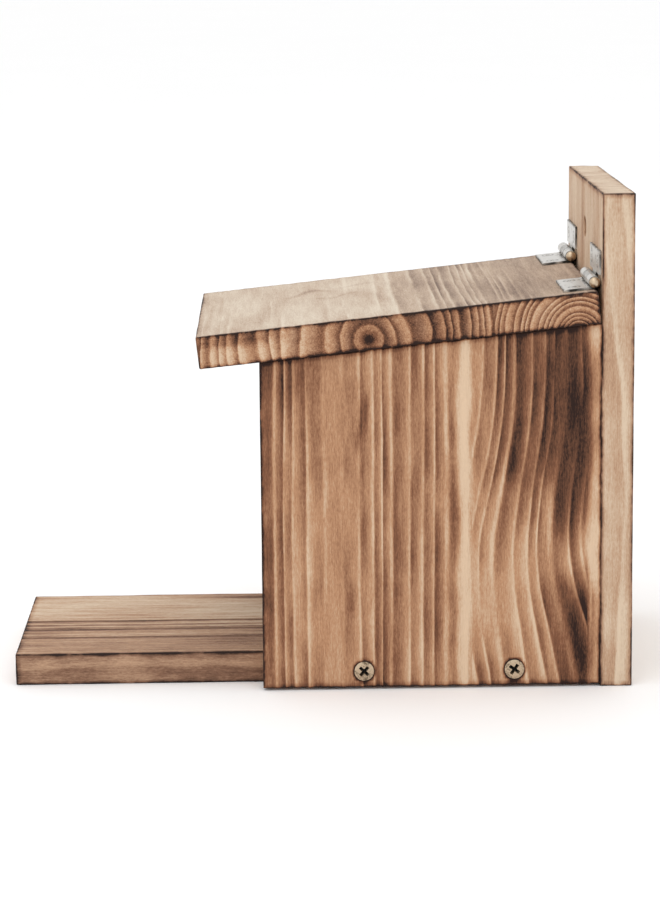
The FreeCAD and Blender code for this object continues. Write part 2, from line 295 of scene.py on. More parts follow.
class StageSettings(bpy.types.PropertyGroup):
    """Camera, floor and light."""

    camera_place: bpy.props.FloatVectorProperty(
        name="Camera place", description="Where the camera stands, in metres",
        subtype="TRANSLATION", unit="LENGTH", default=(1.08288, -0.01725, 0.30582))
    camera_turn: number_setting(
        "Camera turn", "Angle from -X towards +Y that the camera looks along",
        math.radians(0.68), subtype="ANGLE", unit="ROTATION")
    camera_dip: number_setting(
        "Camera dip", "Angle that the camera looks down", math.radians(9.07),
        subtype="ANGLE", unit="ROTATION")
    camera_roll: number_setting(
        "Camera roll", "Turn of the camera about its own line of sight",
        math.radians(-0.63), subtype="ANGLE", unit="ROTATION")
    lens: number_setting(
        "Lens", "Focal length, in millimetres", 104.8, subtype="DISTANCE_CAMERA")
    view_shift: bpy.props.FloatVectorProperty(
        name="View shift", description="Shift of the view, in widths of the picture", size=2,
        default=(0.0263, -0.12))
    surround: number_setting("Surround", "Strength of the white surroundings", 1.03)
    top_power: number_setting(
        "Top light", "Power of the broad light above", 8.0, subtype="POWER")
    side_power: number_setting(
        "Side light", "Power of the light from the right", 2.0, subtype="POWER")
    floor_colour: colour_setting("Floor", "Colour of the pale floor", (0.97, 0.97, 0.97))
    floor_half: number_setting(
        "Floor half width", "Half the width of the floor, in metres", 40.0, unit="LENGTH")


# ---------------------------------------------------------------- shapes of the grain


def waves(places, length, seed):
    """Smooth uneven drift between -1 and 1 over places, in millimetres."""
    random = np.random.default_rng(seed)
    count = 8
    total = np.zeros(len(places))
    for _ in range(count):
        direction = random.normal(size=places.shape[1])
        direction /= np.linalg.norm(direction)
        turns = (places @ direction) / (length * random.uniform(0.6, 1.7))
        total += np.sin(2 * math.pi * (turns + random.uniform()))
    return total / math.sqrt(count)


def through(stops, at):
    """Smooth curve through a few (place, height) stops."""
    xs = np.array([stop[0] for stop in stops], float)
    ys = np.array([stop[1] for stop in stops], float)
    slopes = np.gradient(ys, xs)
    at = np.clip(at, xs[0], xs[-1])
    cell = np.clip(np.searchsorted(xs, at) - 1, 0, len(xs) - 2)
    wide = xs[cell + 1] - xs[cell]
    share = (at - xs[cell]) / wide
    rest = 1 - share
    start = ys[cell] * (1 + 2 * share) * rest**2 + slopes[cell] * wide * share * rest**2
    end = ys[cell + 1] * (1 + 2 * rest) * share**2 - slopes[cell + 1] * wide * rest * share**2
    return start + end


def ring_count(radius, stave):
    """Number of rings between a stave's first ring and a radius."""
    beyond = radius - stave["first"]
    ring = stave["ring"]
    growth = stave["growth"]
    inner = np.maximum(ring**2 + 4 * growth * beyond, 0.01)
    return (np.sqrt(inner) - ring) / (2 * growth)


def board_seed(name):
    """Start of a board's own run of random seeds."""
    return 10 * sorted(FIGURES).index(name)


def ring_figure(name, across, along, depth):
    """Ring count at each place of a board; its whole numbers are the light ring lines."""
    seed = board_seed(name)
    shortened = 0.22
    fine_sway = 0.25
    stave_step = 40.0
    stretched = np.column_stack([across, shortened * along, depth])
    rings = np.zeros(len(across))
    start = -1.0
    for number, stave in enumerate(FIGURES[name]["staves"]):
        shift = stave["sway"] * waves(stretched, 26, seed + number)
        shift += fine_sway * stave["sway"] * waves(stretched, 7, seed + number + 5)
        if "pith" in stave:
            side = across - stave["pith"][0] - shift
            side += stave.get("crowd", 0.0) * side * np.maximum(side, 0)
            count = ring_count(np.hypot(side, depth - stave["pith"][1]), stave)
        else:
            side = across - through(stave["line"], along) - shift + stave["lean"] * depth
            count = side / through(stave["apart"], along)
        count = count + 0.2 * np.sin(1.7 * count + number) + 0.1 * np.sin(3.1 * count)
        mine = (across > start) & (across <= stave["upto"])
        rings[mine] = count[mine] + stave_step * (number + 1)
        start = stave["upto"]
    return rings


def patch_total(patches, across, along):
    """Sum of soft-edged patches at each place of a board."""
    total = np.zeros(len(across))
    for patch_across, patch_along, wide, long, strength in patches:
        away = ((across - patch_across) / wide) ** 2 + ((along - patch_along) / long) ** 2
        total += strength * np.exp(-(away**1.5))
    return total


def scorch_map(name, across, along):
    """How far the flame browned each place of a board, over its plain tone."""
    seed = board_seed(name) + 400
    shortened = 0.35
    wander_along = 6.0
    places = np.column_stack([across, along * shortened])
    ragged_across = across + FIGURES[name].get("wander", 0.8) * waves(places, 13, seed)
    ragged_along = along + wander_along * waves(places, 16, seed + 1)
    drift = 0.04 * waves(places, 30, seed + 2) + 0.02 * waves(places, 8, seed + 3)
    return drift + patch_total(FIGURES[name]["patches"], ragged_across, ragged_along)


def end_scorch(name, across, depth):
    """How far the flame browned the end grain, most of all at each pith."""
    total = END_SCORCH + patch_total(FIGURES[name].get("end_patches", ()), across, depth)
    for stave in FIGURES[name]["staves"]:
        if "pith" in stave:
            away = np.hypot(across - stave["pith"][0], depth - stave["pith"][1])
            total += sum(strength * np.exp(-((away / spread) ** 2))
                         for strength, spread in PITH_SCORCH)
    return total


# ---------------------------------------------------------------- boards as meshes


def lattice_line(low, high, cell, rounding, seams=()):
    """Places of a lattice between two ends, close together in both roundings."""
    ease = rounding * np.array([0.0, 0.1, 0.25, 0.45, 0.7, 1.0, 1.5])
    count = max(2, int(round((high - low - 2 * ease[-1]) / cell)) + 1)
    inner = np.linspace(low + ease[-1], high - ease[-1], count)[1:-1]
    glued = [seam + side for seam in seams for side in (-SEAM_HALF, SEAM_HALF)]
    clear = np.array([min([abs(place - seam) for seam in seams] + [cell]) for place in inner])
    inner = inner[clear > 0.25 * cell]
    return np.sort(np.concatenate([low + ease, inner, glued, high - ease]))


def lattice_shell(lines):
    """Corner places and outward quads of the skin of a box-shaped lattice."""
    counts = [len(line) for line in lines]
    index = np.arange(math.prod(counts)).reshape(counts)
    quads = []
    for axis in range(3):
        for side in (0, -1):
            sheet = np.take(index, side, axis=axis)
            quad = np.stack([sheet[:-1, :-1], sheet[1:, :-1], sheet[1:, 1:], sheet[:-1, 1:]], -1)
            quad = quad.reshape(-1, 4)
            if (side == 0) != (axis == 1):
                quad = quad[:, ::-1]
            quads.append(quad)
    used, faces = np.unique(np.concatenate(quads), return_inverse=True)
    cells = np.unravel_index(used, counts)
    corners = np.column_stack([line[cell] for line, cell in zip(lines, cells)])
    return corners, faces.reshape(-1, 4)


def mesh_object(name, corners, faces):
    """Object with a mesh of the given corners, in millimetres, and faces."""
    if isinstance(faces, np.ndarray):
        faces = faces.tolist()
    mesh = bpy.data.meshes.new(name)
    mesh.from_pydata((np.asarray(corners) * MM).tolist(), [], faces)
    mesh.update()
    return new_object(name, mesh)


def new_object(name, data):
    """Object of a mesh, light or camera, linked into the scene."""
    made = bpy.data.objects.new(name, data)
    bpy.context.scene.collection.objects.link(made)
    return made


def rounded(flat, low, high, edge):
    """Lattice places of a box, pulled in so that its edges are round."""
    core = np.clip(flat, low + edge, high - edge)
    out = flat - core
    return core + edge * out / np.linalg.norm(out, axis=1)[:, None]


def corners_of(piece):
    """Places of a mesh's corners, in millimetres."""
    places = np.zeros(len(piece.data.vertices) * 3)
    piece.data.vertices.foreach_get("co", places)
    return places.reshape(-1, 3) / MM


def write_values(piece, name, values):
    """Store one value for each corner of a piece."""
    attribute = piece.data.attributes.new(name, "FLOAT", "POINT")
    attribute.data.foreach_set("value", values.astype(np.float32))


def smooth_faces(piece, sharp_degrees=40):
    """Smooth shading, with the sharper edges kept crisp."""
    piece.data.polygons.foreach_set("use_smooth", [True] * len(piece.data.polygons))
    piece.data.set_sharp_from_angle(angle=math.radians(sharp_degrees))


def combine(piece, other, operation):
    """Work one closed mesh into another and delete it."""
    modifier = piece.modifiers.new("combine", "BOOLEAN")
    modifier.operation = operation
    modifier.solver = "MANIFOLD"
    modifier.object = other
    replace_mesh(piece)
    drop(other)


def cut_away(piece, cutters):
    """Take the cutters out of a piece and delete them."""
    tool = join(cutters, "cutter") if len(cutters) > 1 else cutters[0]
    combine(piece, tool, "DIFFERENCE")


def replace_mesh(piece):
    """Turn a piece with modifiers into a plain mesh."""
    bpy.context.view_layer.update()
    ready = piece.evaluated_get(bpy.context.evaluated_depsgraph_get())
    plain = bpy.data.meshes.new_from_object(ready)
    old = piece.data
    piece.modifiers.clear()
    piece.data = plain
    plain.name = piece.name
    bpy.data.meshes.remove(old)


def join(pieces, name):
    """One object from several meshes that don't touch each other."""
    corners = []
    faces = []
    for piece in pieces:
        offset = len(corners)
        corners += [vertex.co / MM for vertex in piece.data.vertices]
        faces += [[index + offset for index in face.vertices] for face in piece.data.polygons]
        drop(piece)
    return mesh_object(name, corners, faces)


def drop(piece):
    """Delete an object and its mesh."""
    mesh = piece.data
    bpy.data.objects.remove(piece)
    bpy.data.meshes.remove(mesh)


def box_mm(node):
    """Lowest and highest corner of a CAD node, in millimetres."""
    low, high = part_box(node)
    return np.array(low) / MM, np.array(high) / MM


def wall_slope():
    """Slope of the side walls' tops, in radians."""
    node = frame["nodes"]["right_side_wall"]
    places = np.array([vertex.co for vertex in node.data.vertices]) / MM
    low, high = places.min(0), places.max(0)
    front = places[places[:, 1] < low[1] + 0.01]
    rear = places[places[:, 1] > high[1] - 0.01]
    return math.atan((rear[:, 2].max() - front[:, 2].max()) / (high[1] - low[1]))


class Board:
    """One sawn board: its flat box, the way back to the model, and its own axes."""

    def __init__(self, name):
        self.name = name
        self.low, self.high = box_mm(name)
        self.across, self.along, self.deep = LAY[name]["axes"]
        self.show = LAY[name]["show"]
        self.slope = wall_slope()
        if name == "lid":
            self.lay_flat()

    def lay_flat(self):
        """Work out the lid's own box from the box of its sloping place."""
        cos, sin = math.cos(self.slope), math.sin(self.slope)
        wide = self.high - self.low
        spread = cos**2 - sin**2
        long = (wide[1] * cos - wide[2] * sin) / spread
        thick = (wide[2] * cos - wide[1] * sin) / spread
        self.hinge_line = np.array([0.0, self.high[1], self.high[2] - thick * cos])
        self.low = np.array([self.low[0], -long, 0.0])
        self.high = np.array([self.high[0], 0.0, thick])

    def to_model(self, places):
        """Flat places of the board to places in the model."""
        places = places.copy()
        if self.name == "lid":
            cos, sin = math.cos(self.slope), math.sin(self.slope)
            y, z = places[:, 1].copy(), places[:, 2].copy()
            places[:, 1] = y * cos - z * sin
            places[:, 2] = y * sin + z * cos
            places += self.hinge_line
        if self.name.endswith("side_wall"):
            share = (places[:, 2] - self.low[2]) / (self.high[2] - self.low[2])
            places[:, 2] -= share * (self.high[1] - places[:, 1]) * math.tan(self.slope)
        return places

    def to_flat(self, places):
        """Places in the model to flat places of the board."""
        places = places.copy()
        if self.name == "lid":
            places -= self.hinge_line
            cos, sin = math.cos(self.slope), math.sin(self.slope)
            y, z = places[:, 1].copy(), places[:, 2].copy()
            places[:, 1] = y * cos + z * sin
            places[:, 2] = z * cos - y * sin
        if self.name.endswith("side_wall"):
            high = self.high[2] - self.low[2]
            top = high - (self.high[1] - places[:, 1]) * math.tan(self.slope)
            places[:, 2] = self.low[2] + (places[:, 2] - self.low[2]) * high / top
        return places

    def own_axes(self, places):
        """Distance across, along and in from the show face, at flat places."""
        across = places[:, self.across] - self.low[self.across]
        along = places[:, self.along] - self.low[self.along]
        deep = places[:, self.deep] - self.low[self.deep]
        if self.show:
            deep = self.high[self.deep] - places[:, self.deep]
        if self.name.endswith("side_wall"):
            along = self.to_model(places)[:, 2] - self.low[2]
        return across, along, deep

    def seams(self):
        """Places of the glue lines across the board."""
        return [self.low[self.across] + s["upto"] for s in FIGURES[self.name]["staves"][:-1]]

    def build(self, wood):
        """Rounded, weathered mesh of the board, without its holes."""
        cells = [0.0, 0.0, 0.0]
        cells[self.across] = wood.fine_cell
        cells[self.along] = wood.long_cell
        cells[self.deep] = wood.deep_cell
        lines = []
        for axis in range(3):
            seams = self.seams() if axis == self.across else ()
            ends = self.low[axis], self.high[axis]
            lines.append(lattice_line(*ends, cells[axis], wood.arris, seams))
        flat, faces = lattice_shell(lines)
        rings = ring_figure(self.name, *self.own_axes(flat))
        seed = board_seed(self.name) + 70
        round_off = wood.arris * (1 + wood.wear * waves(flat, 22, seed))
        round_off = np.clip(round_off, 0.3 * wood.arris, 1.9 * wood.arris)[:, None]
        core = np.clip(flat, self.low + round_off, self.high - round_off)
        out = flat - core
        out /= np.maximum(np.linalg.norm(out, axis=1), 1e-9)[:, None]
        soft = 0.5 - 0.5 * np.cos(2 * math.pi * rings)
        uneven = 0.5 + 0.5 * np.clip(waves(flat, 18, seed + 1), -1, 1)
        sink = wood.relief * (0.25 + 0.75 * uneven) * soft
        shaped = core + (round_off - sink[:, None]) * out
        return mesh_object(self.name + "_wood", self.to_model(shaped), faces)

    def mark(self, piece, wood, screws):
        """Write ring, scorch, arris and end-grain values onto the finished mesh, with painted shade round the
        screws.
        """
        flat = self.to_flat(corners_of(piece))
        across, along, deep = self.own_axes(flat)
        for seam in self.seams():
            offset = seam - self.low[self.across]
            near = np.abs(across - offset) < 2 * SEAM_HALF
            across[near] = np.where(across[near] > offset, offset + SEAM_HALF, offset - SEAM_HALF)
        faded = np.clip(1 - 0.5 * deep / (self.high[self.deep] - self.low[self.deep]), 0.5, 1)
        scorch = scorch_map(self.name, across, along) * faded
        gaps = np.sort(np.minimum(flat - self.low, self.high - flat), axis=1)
        seed = board_seed(self.name) + 90
        line_wide = 0.8
        haze_wide = 2.4
        haze_share = 0.2
        end_fade = 0.7
        ragged = 0.8 + 0.22 * waves(flat, 20, seed) + 0.2 * waves(flat, 3, seed + 1)
        arris = np.exp(-((gaps[:, 1] / line_wide) ** 2)) * np.clip(ragged, 0.35, 1.15)
        haze = 0.5 + 0.5 * np.clip(waves(flat, 9, seed + 2), -1, 1)
        arris += haze_share * haze * np.exp(-((gaps[:, 1] / haze_wide) ** 2))
        end_gap = np.minimum(flat[:, self.along] - self.low[self.along],
                             self.high[self.along] - flat[:, self.along])
        end = np.clip(1 - end_gap / (1.2 * wood.arris), 0, 1)
        most = 0.5
        scorch = np.where(scorch > 0, most * np.tanh(scorch / most), scorch)
        scorch *= 1 - end_fade * end
        scorch += end * end_scorch(self.name, across, deep)
        # Painted shade: a dark ring round each screw head, added into the scorch values.
        scorch += screw_gap_shade(corners_of(piece), screws)
        quiet = patch_total(FIGURES[self.name]["quiet"], across, along)
        quiet += 0.16 - 0.24 * waves(np.column_stack([across, 0.3 * along]), 15, seed + 3)
        quiet *= 1 - end
        marks = {"rings": ring_figure(self.name, across, along, deep), "scorch": scorch,
                 "arris": arris, "end": end, "bite": np.clip(1 - quiet, 0, 1.2)}
        for name, values in marks.items():
            write_values(piece, name, values)


def head_ring(places, node, wide):
    """Soft ring along the rim of a screw's head, and the rise of each place from it."""
    head, outward, head_wide, _ = screw_place(node)
    away = places - head
    rise = away @ outward
    off = np.linalg.norm(away - np.outer(rise, outward), axis=1)
    return np.exp(-(((off - 0.5 * head_wide) / wide) ** 2)), rise


def screw_gap_shade(places, screws):
    """Painted shade: a dark ring in the wood round each screw's head, where the gap beside it lies in shadow."""
    ring_wide = 0.7
    darkest = 0.7
    reach = 0.6
    total = np.zeros(len(places))
    for node in screws:
        ring, rise = head_ring(places, node, ring_wide)
        total = np.maximum(total, darkest * ring * (np.abs(rise) < reach))
    return total


def tube_faces(count, steps, upward=True):
    """Outward faces and both end caps of a tube of rings of corners."""
    faces = []
    for row in range(count - 1):
        low, high = row * steps, (row + 1) * steps
        if not upward:
            low, high = high, low
        for step in range(steps):
            after = (step + 1) % steps
            faces.append([low + step, low + after, high + after, high + step])
    caps = [[row * steps + step for step in range(steps)] for row in (0, count - 1)]
    caps[0 if upward else 1].reverse()
    return faces + caps


def turned_shape(name, profile, base, axis, steps=48):
    """Closed turned solid: (radius, rise) pairs about a line from base along an axis."""
    axis = Vector(axis).normalized()
    turn = axis.to_track_quat("Z", "Y").to_matrix()
    corners = []
    for radius, rise in profile:
        for step in range(steps):
            angle = 2 * math.pi * step / steps
            local = Vector((radius * math.cos(angle), radius * math.sin(angle), rise))
            corners.append(Vector(base) + turn @ local)
    return mesh_object(name, corners, tube_faces(len(profile), steps))


def plain_block(name, low, high):
    """Box-shaped cutter between two corners."""
    corners, faces = lattice_shell([np.array([low[axis], high[axis]]) for axis in range(3)])
    return mesh_object(name, corners, faces)


# ---------------------------------------------------------------- screws


def screw_place(node):
    """Middle of a screw's head, its outward direction, head width and length."""
    if "hinge" in node:
        return leaf_screw_place(node)
    low, high = box_mm(node)
    middle = (low + high) / 2
    axis = 1 if "back" in node else 0
    outward = np.zeros(3)
    outward[axis] = 1.0 if (axis == 1 or node.startswith("right")) else -1.0
    head = middle.copy()
    head[axis] = high[axis] if outward[axis] > 0 else low[axis]
    wide = (high - low)[2]
    return head, outward, wide, (high - low)[axis]


def leaf_screw_place(node):
    """The same for a hinge screw, whose direction follows its leaf's board."""
    low, high = box_mm(node)
    wide = (high - low)[0]
    if "board" in node:
        head = (low + high) / 2
        head[1] = low[1]
        return head, np.array([0.0, -1.0, 0.0]), wide, (high - low)[1]
    slope = wall_slope()
    outward = np.array([0.0, -math.sin(slope), math.cos(slope)])
    spread = wide * math.sin(slope)
    long = ((high - low)[2] - wide * math.sin(slope) / 2) / math.cos(slope)
    head = (low + high) / 2
    head[2] = high[2] - spread / 2
    head[1] = low[1] + wide * math.cos(slope) / 2
    return head, outward, wide, long


def screw_sink(node, ease=0.16):
    """Cutter for a countersunk screw: a cone for its head and a bore for its shank."""
    head, outward, wide, long = screw_place(node)
    shank = SHANK_SHARE * wide + ease
    seat = SEAT_SHARE * wide
    proud = 0.5
    flare = 0.12
    profile = [
        (shank, -long),
        (shank, -seat),
        (wide / 2 + ease, 0.0),
        (wide / 2 + ease + flare, proud),
    ]
    return turned_shape("sink_" + node, profile, head, outward)


def screw_shape(name, wide, long, pitch):
    """One countersunk wood screw, head up at the origin, with a crossed recess."""
    shank = SHANK_SHARE * wide
    seat = SEAT_SHARE * wide
    steps = 40
    rows = 150
    root = 0.68
    crest_rise = 0.3
    flank = 5
    plain = seat + 0.2 * wide
    tip = 1.1 * wide
    start = 0.9 * seat
    squeeze = (long - start) / long
    corners = []
    for row in range(rows + 1):
        rise = -long * row / rows
        for step in range(steps):
            angle = 2 * math.pi * step / steps
            turn = (rise / pitch + step / steps) % 1.0
            crest = max(0.0, 1 - abs(turn - 0.5) * flank)
            tapering = min(1.0, (long + rise) / tip)
            radius = (root + crest_rise * crest) * shank * tapering + 0.01
            if -rise < plain:
                radius = 0.96 * shank
            down = rise * squeeze - start
            corners.append((radius * math.cos(angle), radius * math.sin(angle), down))
    shaft = mesh_object(name + "_shaft", corners, tube_faces(rows + 1, steps, upward=False))
    rim = 0.04 * wide
    head = turned_shape(name, [
        (shank * 0.94, -seat),
        (wide / 2 - 0.3 * rim, -1.5 * rim),
        (wide / 2, -rim),
        (wide / 2 - 0.25 * rim, -0.35 * rim),
        (wide / 2 - rim, 0.0),
    ], (0, 0, 0), (0, 0, 1))
    combine(head, shaft, "UNION")
    arm = 0.085 * wide
    reach = 0.31 * wide
    depth = 0.24 * wide
    across = cross_arm(name + "_arm_x", reach, arm, depth)
    combine(across, cross_arm(name + "_arm_y", arm, reach, depth), "UNION")
    cut_away(head, [across])
    # Painted shade: the crossed recess is darkened towards its bottom.
    places = corners_of(head)
    inside = np.hypot(places[:, 0], places[:, 1]) < 1.1 * reach
    write_values(head, "soot", np.clip(-places[:, 2] / (0.4 * depth), 0, 1) * inside)
    return head


class Leaf:
    """One hinge leaf: a strip that lies on its board and rolls round the pin."""

    def __init__(self, side, part):
        self.node = f"{side}_hinge_{part}_leaf"
        self.side = side
        self.part = part
        low, high = box_mm(self.node)
        pin_low, pin_high = box_mm(f"{side}_hinge_pin")
        joint = next(joint for joint in frame["joints"] if joint["name"] == "lid_hinge")
        self.pin = np.array(joint["pos_m"]) / MM
        self.pin[0] = (pin_low[0] + pin_high[0]) / 2
        self.half = (high[0] - low[0]) / 2
        board = Board("lid")
        wood_off = self.pin - board.hinge_line
        cos, sin = math.cos(board.slope), math.sin(board.slope)
        self.off = wood_off[2] * cos - wood_off[1] * sin - board.high[2]
        other_low, other_high = box_mm(f"{side}_hinge_board_leaf")
        self.reach = other_high[2] - self.pin[2]
        self.roll_out = self.pin[1] - other_low[1]
        self.roll_front = self.off + 0.3
        self.thick = 1.0
        self.slope = board.slope

    def section(self, along):
        """Middle of the strip and its outward normal, by distance from the free end.

        Gives how far out over the leaf and how far up the middle is, then the same two
        for the normal.
        """
        middle = self.roll_out - self.thick / 2
        flat_rise = self.thick / 2 - self.off
        neck = 1.2 * self.off
        flat_long = self.reach - neck
        share = np.clip((along - flat_long) / neck, 0, 1)
        ease = share * share * (3 - 2 * share)
        turn = np.maximum(along - self.reach, 0) / middle
        out = np.where(turn > 0, -middle * np.sin(turn), self.reach - along)
        rise = np.where(turn > 0, -middle * np.cos(turn), flat_rise + (-middle - flat_rise) * ease)
        lean = np.where(turn > 0, np.sin(turn), 0.0)
        stand = np.where(turn > 0, np.cos(turn), 1.0)
        return out, rise, lean, stand

    def to_model(self, places):
        """From (along the pin, out over the leaf, up from the pin) to the model."""
        x, out, up = places.T
        if self.part == "board":
            return self.pin + np.column_stack([x, -up, out])
        cos, sin = math.cos(self.slope), math.sin(self.slope)
        return self.pin + np.column_stack([x, -out * cos - up * sin, -out * sin + up * cos])

    def to_leaf(self, places):
        """From the model to (along the pin, out over the leaf, up from the pin)."""
        x, y, z = (places - self.pin).T
        if self.part == "board":
            return np.column_stack([x, z, -y])
        cos, sin = math.cos(self.slope), math.sin(self.slope)
        return np.column_stack([x, -y * cos - z * sin, z * cos - y * sin])

    def build(self):
        """Rolled strip, notched for the other leaf's knuckles and sunk for its screws."""
        edge = 0.12
        wrap = math.radians(285)
        roll = (self.roll_out - self.thick / 2) * wrap
        span = [(0.0, self.reach + roll), (0.0, self.thick), (-self.half, self.half)]
        cells = (0.35, 0.35, 0.5)
        lines = [lattice_line(low, high, cell, edge) for (low, high), cell in zip(span, cells)]
        flat, faces = lattice_shell(lines)
        flat = rounded(flat, *np.array(span).T, edge)
        away, rise, lean, stand = self.section(flat[:, 0])
        lift = flat[:, 1] - self.thick / 2
        places = np.column_stack([flat[:, 2], away + lift * lean, rise + lift * stand])
        piece = mesh_object(self.node + "_rolled", self.to_model(places), faces)
        cut_away(piece, [self.notch(*ends) for ends in self.notches()])
        screws = [node for node in LEAF_SCREWS[self.part] if node.startswith(self.side)]
        cut_away(piece, [screw_sink(node, 0.06) for node in screws])
        self.paint_shade(piece, screws)
        smooth_faces(piece, 40)
        return piece

    def notches(self):
        """Stretches along the pin where the other leaf has its knuckles."""
        third = self.half / 3
        gap = 0.3
        if self.part == "lid":
            return [(-third - gap, third + gap)]
        return [(-self.half - 1, -third), (third, self.half + 1)]

    def notch(self, low, high):
        """Cutter that clears one stretch of the roll."""
        back = -2 * self.roll_out
        tall = 2 * self.off
        corners, faces = lattice_shell([np.array(ends) for ends in (
            (low, high), (back, self.roll_front), (-tall, tall))])
        return mesh_object("notch", self.to_model(corners), faces)

    def paint_shade(self, piece, screws):
        """Write the painted shade along the leaf's edges, in the seams between its knuckles and round its screws.
        """
        far = 9.0
        shade_wide = 0.5
        edge_shade = 0.95
        screw_shade = 0.9
        places = corners_of(piece)
        x, out, _ = self.to_leaf(places).T
        sides = np.abs(x)
        rolled = out < self.roll_front
        gap = np.minimum(self.half - sides, np.where(rolled, far, self.reach - out))
        seam = np.where(rolled, np.abs(sides - self.half / 3), far)
        uneven = np.clip(0.7 + 0.4 * waves(places, 4, 31), 0, 1)
        # Painted shade: dark along the edges, the knuckle seams and the screw rims.
        total = edge_shade * uneven * np.exp(-((np.minimum(gap, seam) / shade_wide) ** 2))
        for node in screws:
            total = np.maximum(total, screw_shade * head_ring(places, node, shade_wide)[0])
        write_values(piece, "soot", np.clip(total, 0, 1))


def cross_arm(name, half_x, half_y, depth):
    """Tapered block for one bar of a screw's crossed recess."""
    taper = 0.72
    proud = 0.2
    corners = []
    for rise, share in ((-depth, taper), (proud, 1.0)):
        for sign_x, sign_y in ((-1, -1), (1, -1), (1, 1), (-1, 1)):
            corners.append((sign_x * half_x * share, sign_y * half_y * share, rise))
    faces = [[3, 2, 1, 0], [4, 5, 6, 7]]
    faces += [[side, (side + 1) % 4, (side + 1) % 4 + 4, side + 4] for side in range(4)]
    return mesh_object(name, corners, faces)


def setter_tree():
    """Geometry Nodes that set a screw at each marked point, turned out of the wood."""
    tree = bpy.data.node_groups.new("Set screws", "GeometryNodeTree")
    kinds = {"Points": "Geometry", "Screw": "Object", "Finish": "Material",
             "Least turn": "Float", "Most turn": "Float", "Seed": "Int"}
    for name, kind in kinds.items():
        tree.interface.new_socket(name, in_out="INPUT", socket_type="NodeSocket" + kind)
    tree.interface.new_socket("Screws", in_out="OUTPUT", socket_type="NodeSocketGeometry")
    nodes, links = tree.nodes, tree.links
    given = nodes.new("NodeGroupInput")
    made = nodes.new("NodeGroupOutput")
    info = nodes.new("GeometryNodeObjectInfo")
    facing = nodes.new("GeometryNodeInputNamedAttribute")
    facing.data_type = "FLOAT_VECTOR"
    facing.inputs["Name"].default_value = "facing"
    upright = nodes.new("FunctionNodeAlignEulerToVector")
    upright.axis = "Z"
    spin = nodes.new("FunctionNodeRandomValue")
    spin.data_type = "FLOAT"
    about = nodes.new("ShaderNodeCombineXYZ")
    place = nodes.new("GeometryNodeInstanceOnPoints")
    turn = nodes.new("GeometryNodeRotateInstances")
    turn.inputs["Local Space"].default_value = True
    real = nodes.new("GeometryNodeRealizeInstances")
    finish = nodes.new("GeometryNodeSetMaterial")
    float_sockets = [socket for socket in spin.inputs if socket.type == "VALUE" and socket.enabled]
    links.new(given.outputs["Screw"], info.inputs["Object"])
    links.new(facing.outputs["Attribute"], upright.inputs["Vector"])
    links.new(given.outputs["Least turn"], float_sockets[0])
    links.new(given.outputs["Most turn"], float_sockets[1])
    links.new(given.outputs["Seed"], spin.inputs["Seed"])
    value = next(socket for socket in spin.outputs if socket.enabled)
    links.new(value, about.inputs["Z"])
    links.new(given.outputs["Points"], place.inputs["Points"])
    links.new(info.outputs["Geometry"], place.inputs["Instance"])
    links.new(upright.outputs["Rotation"], place.inputs["Rotation"])
    links.new(place.outputs["Instances"], turn.inputs["Instances"])
    links.new(about.outputs["Vector"], turn.inputs["Rotation"])
    links.new(turn.outputs["Instances"], real.inputs["Geometry"])
    links.new(real.outputs["Geometry"], finish.inputs["Geometry"])
    links.new(given.outputs["Finish"], finish.inputs["Material"])
    links.new(finish.outputs["Geometry"], made.inputs["Screws"])
    return tree


def set_screws(name, nodes, screw, finish, tree):
    """One mesh of screws standing where the CAD has them."""
    places = [screw_place(node) for node in nodes]
    points = mesh_object(name + "_points", [head for head, *_ in places], [])
    facing = points.data.attributes.new("facing", "FLOAT_VECTOR", "POINT")
    facing.data.foreach_set("vector", np.array([place[1] for place in places], np.float32).ravel())
    modifier = points.modifiers.new("set", "NODES")
    modifier.node_group = tree
    given = {item.name: item.identifier for item in tree.interface.items_tree
             if item.item_type == "SOCKET" and item.in_out == "INPUT"}
    values = {"Screw": screw, "Finish": finish, "Least turn": LEAST_TURN,
              "Most turn": MOST_TURN, "Seed": len(nodes)}
    for socket, value in values.items():
        modifier[given[socket]] = value
    bpy.context.view_layer.update()
    ready = points.evaluated_get(bpy.context.evaluated_depsgraph_get())
    mesh = bpy.data.meshes.new_from_object(ready)
    points.modifiers.clear()
    drop(points)
    mesh.name = name
    piece = new_object(name, mesh)
    smooth_faces(piece, 35)
    return piece


# ---------------------------------------------------------------- materials


def new_material(name):
    """Material with its nodes, and its Principled BSDF."""
    material = bpy.data.materials.new(name)
    material.use_nodes = True
    return material, material.node_tree.nodes["Principled BSDF"]


def group_tree(name, inputs, outputs):
    """Empty shader node group with named sockets."""
    tree = bpy.data.node_groups.new(name, "ShaderNodeTree")
    kinds = {"float": "NodeSocketFloat", "vector": "NodeSocketVector", "colour": "NodeSocketColor"}
    for socket, kind in inputs:
        tree.interface.new_socket(socket, in_out="INPUT", socket_type=kinds[kind])
    for socket, kind in outputs:
        tree.interface.new_socket(socket, in_out="OUTPUT", socket_type=kinds[kind])
    return tree, tree.nodes.new("NodeGroupInput"), tree.nodes.new("NodeGroupOutput")


def maths(tree, kind, first, second=0.0, third=0.0, clamp=False):
    """Math node fed by sockets or plain numbers; gives its output socket."""
    node = tree.nodes.new("ShaderNodeMath")
    node.operation = kind
    node.use_clamp = clamp
    for socket, source in zip(node.inputs, (first, second, third)):
        if isinstance(source, (int, float)):
            socket.default_value = source
        else:
            tree.links.new(source, socket)
    return node.outputs[0]


def blend_colours(tree, share, first, second):
    """Mix of two colours by a share; gives its output socket."""
    node = tree.nodes.new("ShaderNodeMix")
    node.data_type = "RGBA"
    sources = {0: share, 6: first, 7: second}
    for number, source in sources.items():
        socket = node.inputs[number]
        if isinstance(source, (int, float)):
            socket.default_value = source
        elif isinstance(source, (tuple, list)):
            socket.default_value = (*source, 1.0)
        else:
            tree.links.new(source, socket)
    return node.outputs[2]


